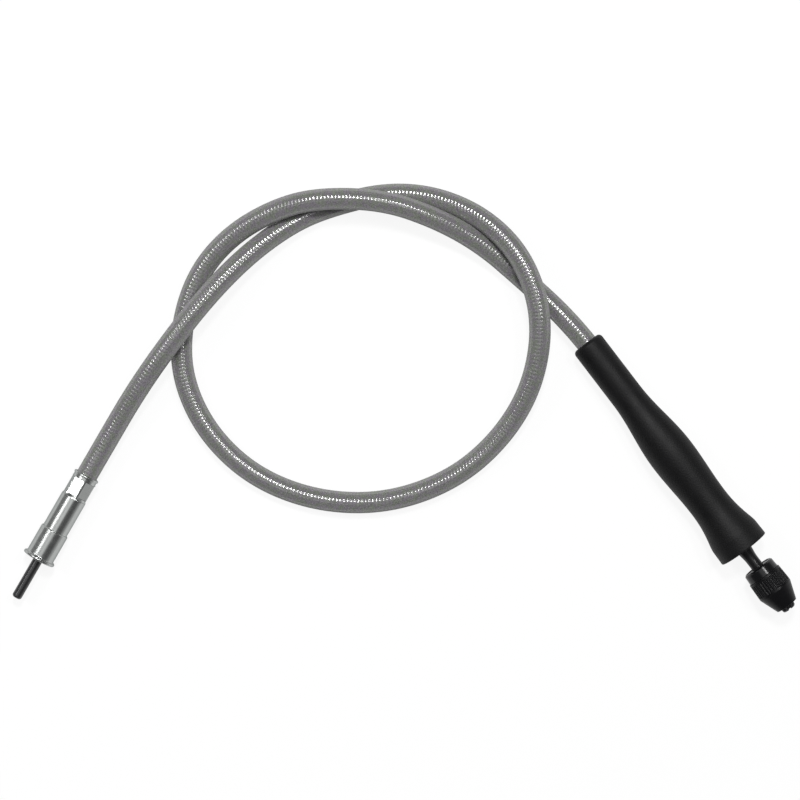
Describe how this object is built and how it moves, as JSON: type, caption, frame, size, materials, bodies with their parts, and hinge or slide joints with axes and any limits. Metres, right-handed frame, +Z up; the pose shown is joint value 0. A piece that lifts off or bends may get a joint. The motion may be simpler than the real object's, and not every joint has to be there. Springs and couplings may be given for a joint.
{
  "type": "flexible shaft handpiece",
  "caption": "Flexible drive shaft in a braided hose, with a plated fitting and drive pin at one end and a black handpiece with a keyless jaw chuck at the other.",
  "frame": {"origin": "on the bench, under the middle of the box round the two rigid ends (the hose left out)", "axes": "+X from the drive end towards the handpiece, +Y across the bench towards the hose's loop, +Z up from the bench"},
  "size_m": [0.4735, 0.2601, 0.0324],
  "materials": {
    "zinc_plate": "bright zinc plate",
    "black_oxide": "black oxide, satin",
    "chuck_black": "black, polished",
    "bright_steel": "ground",
    "ball_steel": "polished",
    "bronze": "turned",
    "hose_cover": "woven relief, satin",
    "wound_wire": "wound wire",
    "grip_plastic": "fine grained",
    "cap_plastic": "fine grained",
    "seal_rubber": "matte",
    "cage_nylon": "natural nylon",
    "jaw_steel": "hardened, ground"
  },
  "bodies": {
    "frame": {"hose_ferrule": "zinc_plate", "drive_sleeve": "zinc_plate", "drive_bush": "bronze", "drive_thrust_washer": "bronze", "hose_sheath": "hose_cover", "hose_liner": "wound_wire", "drive_core": "wound_wire", "grip": "grip_plastic", "hose_socket": "bright_steel", "housing_tube": "bright_steel", "front_cap": "cap_plastic", "dust_seal": "seal_rubber", "retaining_ring": "bright_steel", "shim_washer": "bright_steel", "outer_spacer": "bright_steel", "rear_bearing_outer_ring": "bright_steel", "front_bearing_outer_ring": "bright_steel"},
    "drive_spindle": {"drive_spindle": "black_oxide"},
    "hand_spindle": {"spindle": "black_oxide", "core_coupling": "bright_steel", "inner_spacer": "bright_steel", "rear_bearing_inner_ring": "bright_steel", "front_bearing_inner_ring": "bright_steel", "chuck_body": "jaw_steel", "chuck_collar": "chuck_black", "chuck_thrust_washer": "bright_steel"},
    "rear_ball_cage": {"rear_bearing_cage": "cage_nylon", "rear_bearing_balls": "ball_steel"},
    "front_ball_cage": {"front_bearing_cage": "cage_nylon", "front_bearing_balls": "ball_steel"},
    "chuck_sleeve": {"chuck_sleeve": "chuck_black", "jaw_nut": "bright_steel"},
    "jaw_1": {"jaw_1": "jaw_steel"},
    "jaw_2": {"jaw_2": "jaw_steel"},
    "jaw_3": {"jaw_3": "jaw_steel"}
  },
  "joints": [
    {"name": "hand_spindle_spin", "type": "hinge", "parent": "frame", "child": "hand_spindle", "pos_m": [0.17188, -0.00047, 0.01448], "axis": [0.6048, -0.7957, 0.0321], "continuous": true},
    {"name": "drive_spindle_spin", "type": "hinge", "parent": "frame", "child": "drive_spindle", "pos_m": [-0.22124, -0.05303, 0.0102], "axis": [0.5008, 0.8656, 0], "continuous": true},
    {"name": "rear_cage_turn", "type": "hinge", "parent": "frame", "child": "rear_ball_cage", "pos_m": [0.16402, 0.00987, 0.01406], "axis": [0.6048, -0.7957, 0.0321], "continuous": true},
    {"name": "front_cage_turn", "type": "hinge", "parent": "frame", "child": "front_ball_cage", "pos_m": [0.19832, -0.03524, 0.01588], "axis": [0.6048, -0.7957, 0.0321], "continuous": true},
    {"name": "chuck_sleeve_turn", "type": "hinge", "parent": "hand_spindle", "child": "chuck_sleeve", "pos_m": [0.22281, -0.06747, 0.01718], "axis": [-0.6048, 0.7957, -0.0321], "range_deg": [-1080, 1425]},
    {"name": "jaw_1_slide", "type": "slide", "parent": "hand_spindle", "child": "jaw_1", "axis": [0.5876, -0.773, 0.2392], "range_m": [-0.003, 0.00396]},
    {"name": "jaw_2_slide", "type": "slide", "parent": "hand_spindle", "child": "jaw_2", "axis": [0.4503, -0.8899, -0.0725], "range_m": [-0.003, 0.00396]},
    {"name": "jaw_3_slide", "type": "slide", "parent": "hand_spindle", "child": "jaw_3", "axis": [0.737, -0.672, -0.0725], "range_m": [-0.003, 0.00396]}
  ],
  "couplings": [
    {"joint": "drive_spindle_spin", "follows": "hand_spindle_spin", "ratio": 1},
    {"joint": "rear_cage_turn", "follows": "hand_spindle_spin", "ratio": 0.37692},
    {"joint": "front_cage_turn", "follows": "hand_spindle_spin", "ratio": 0.37692},
    {"joint": "jaw_1_slide", "follows": "chuck_sleeve_turn", "m_per_rad": 0.00015915},
    {"joint": "jaw_2_slide", "follows": "chuck_sleeve_turn", "m_per_rad": 0.00015915},
    {"joint": "jaw_3_slide", "follows": "chuck_sleeve_turn", "m_per_rad": 0.00015915}
  ]
}
